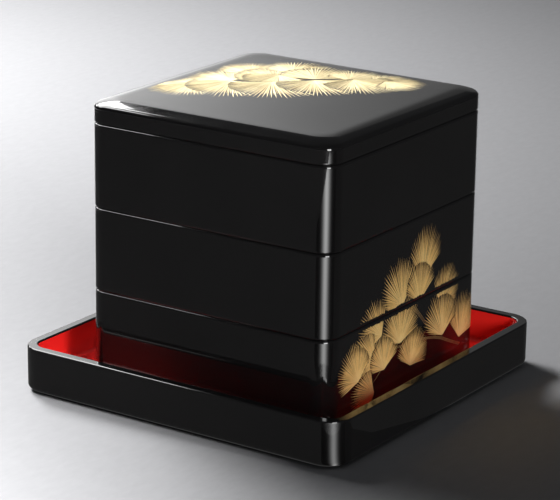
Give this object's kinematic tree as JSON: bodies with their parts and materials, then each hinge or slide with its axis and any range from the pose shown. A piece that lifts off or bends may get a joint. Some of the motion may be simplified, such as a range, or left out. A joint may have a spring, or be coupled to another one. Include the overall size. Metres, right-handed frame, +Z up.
{
  "type": "tiered bento lunch box",
  "caption": "Square stacking lunch box of lacquered wood: tiers nest one on another under a flush lid and stand in a shallow tray.",
  "frame": {"origin": "centre of the underside that the tray rests on", "axes": "+Z up, the way the lid and the tiers lift off; the front, decorated face looks along -Y; +X is to the right of a viewer facing the front"},
  "size_m": [0.26, 0.26, 0.2062],
  "materials": {
    "black_lacquer": "gloss black lacquer over wood",
    "vermilion_lacquer": "gloss vermilion lacquer over wood",
    "gold_powder": "burnished gold powder in lacquer, laid as fine lines"
  },
  "bodies": {
    "tray": {"tray_side_band": "black_lacquer", "tray_floor_board": "vermilion_lacquer", "tray_foot_ring": "black_lacquer"},
    "bottom_tier": {"bottom_tier_side_band": "black_lacquer", "bottom_tier_floor_board": "vermilion_lacquer", "bottom_tier_foot_ring": "black_lacquer"},
    "middle_tier": {"middle_tier_side_band": "black_lacquer", "middle_tier_floor_board": "vermilion_lacquer", "middle_tier_foot_ring": "black_lacquer"},
    "top_tier": {"top_tier_side_band": "black_lacquer", "top_tier_floor_board": "vermilion_lacquer", "top_tier_foot_ring": "black_lacquer"},
    "lid": {"lid_top_board": "black_lacquer", "lid_side_band": "black_lacquer", "lid_locating_lip": "vermilion_lacquer"}
  },
  "joints": [
    {"name": "bottom_tier_lift", "type": "slide", "parent": "tray", "child": "bottom_tier", "axis": [0, 0, 1], "range_m": [0, 0.08]},
    {"name": "middle_tier_lift", "type": "slide", "parent": "bottom_tier", "child": "middle_tier", "axis": [0, 0, 1], "range_m": [0, 0.08]},
    {"name": "top_tier_lift", "type": "slide", "parent": "middle_tier", "child": "top_tier", "axis": [0, 0, 1], "range_m": [0, 0.08]},
    {"name": "lid_lift", "type": "slide", "parent": "top_tier", "child": "lid", "axis": [0, 0, 1], "range_m": [0, 0.08]}
  ]
}
